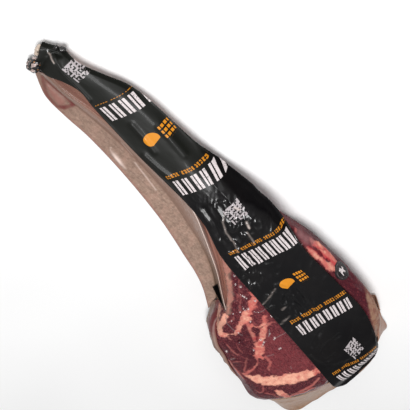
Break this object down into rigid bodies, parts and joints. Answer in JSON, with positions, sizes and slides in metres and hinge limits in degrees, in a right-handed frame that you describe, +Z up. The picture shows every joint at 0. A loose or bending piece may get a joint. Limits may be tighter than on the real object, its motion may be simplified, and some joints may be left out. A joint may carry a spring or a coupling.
{
  "type": "vacuum-packed raw tomahawk steak",
  "caption": "Raw bone-in rib steak with a long rib bone, in a shrunk clear vacuum bag with a black printed band along it and a flat film web beside the bone.",
  "frame": {"origin": "on the table, under the middle of the part's bounding box", "axes": "+X runs along the bag from the bone's tip to the meat, +Y towards the fat edge, +Z up from the table"},
  "size_m": [0.5034, 0.1952, 0.0469],
  "materials": {
    "bone": "damp, semi-gloss",
    "meat": "wet, glossy",
    "clear_film": "clear gloss film",
    "black_film": "gloss film",
    "sticker": "satin"
  },
  "bodies": {
    "root": {"rib_bone": "bone", "meat": "meat", "film_web": "clear_film", "film_end_hem": "clear_film", "gathered_tail": "black_film", "printed_band": "black_film", "round_sticker": "sticker"}
  },
  "joints": []
}
